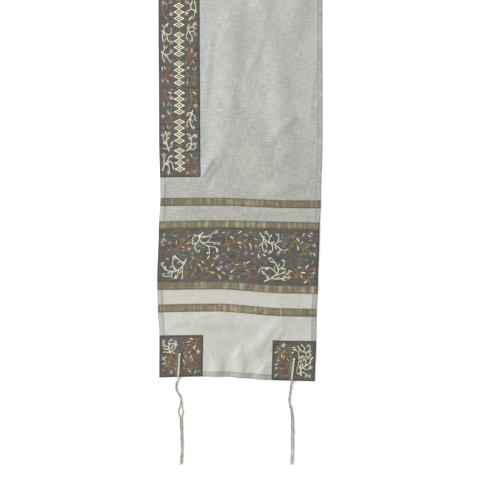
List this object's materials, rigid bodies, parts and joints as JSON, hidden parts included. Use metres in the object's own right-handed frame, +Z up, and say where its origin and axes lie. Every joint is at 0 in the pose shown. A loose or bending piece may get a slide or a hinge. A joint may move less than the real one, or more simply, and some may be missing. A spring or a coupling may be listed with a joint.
{
  "type": "tallit prayer shawl",
  "caption": "Flat-laid oblong prayer shawl with a dark neckband, embroidered end bands, bronze ribbons, corner squares and knotted tzitzit.",
  "frame": {"origin": "on the surface that the shawl lies on, under the middle of its length and width", "axes": "+Z up, +Y along the shawl towards the end that the picture leaves out, +X across it, away from the neckband's edge"},
  "size_m": [0.4052, 2.2221, 0.0088],
  "materials": {
    "silver_silk": "slubby raw silk, soft sheen",
    "slate_silk": "slubby slate silk with satin-stitch embroidery",
    "bronze_ribbon": "shimmering woven ribbon",
    "white_wool": "spun wool strand"
  },
  "bodies": {
    "root": {"shawl_panel": "silver_silk", "neckband": "slate_silk", "band_front": "slate_silk", "band_far": "slate_silk", "corner_front_left": "slate_silk", "corner_front_right": "slate_silk", "corner_far_left": "slate_silk", "corner_far_right": "slate_silk", "ribbon_front_hem": "bronze_ribbon", "ribbon_front_band_outer": "bronze_ribbon", "ribbon_front_band_inner": "bronze_ribbon", "ribbon_front_neck": "bronze_ribbon", "ribbon_far_hem": "bronze_ribbon", "ribbon_far_band_outer": "bronze_ribbon", "ribbon_far_band_inner": "bronze_ribbon", "ribbon_far_neck": "bronze_ribbon", "tzitzit_front_left": "white_wool", "tzitzit_front_right": "white_wool", "tzitzit_far_left": "white_wool", "tzitzit_far_right": "white_wool"}
  },
  "joints": []
}
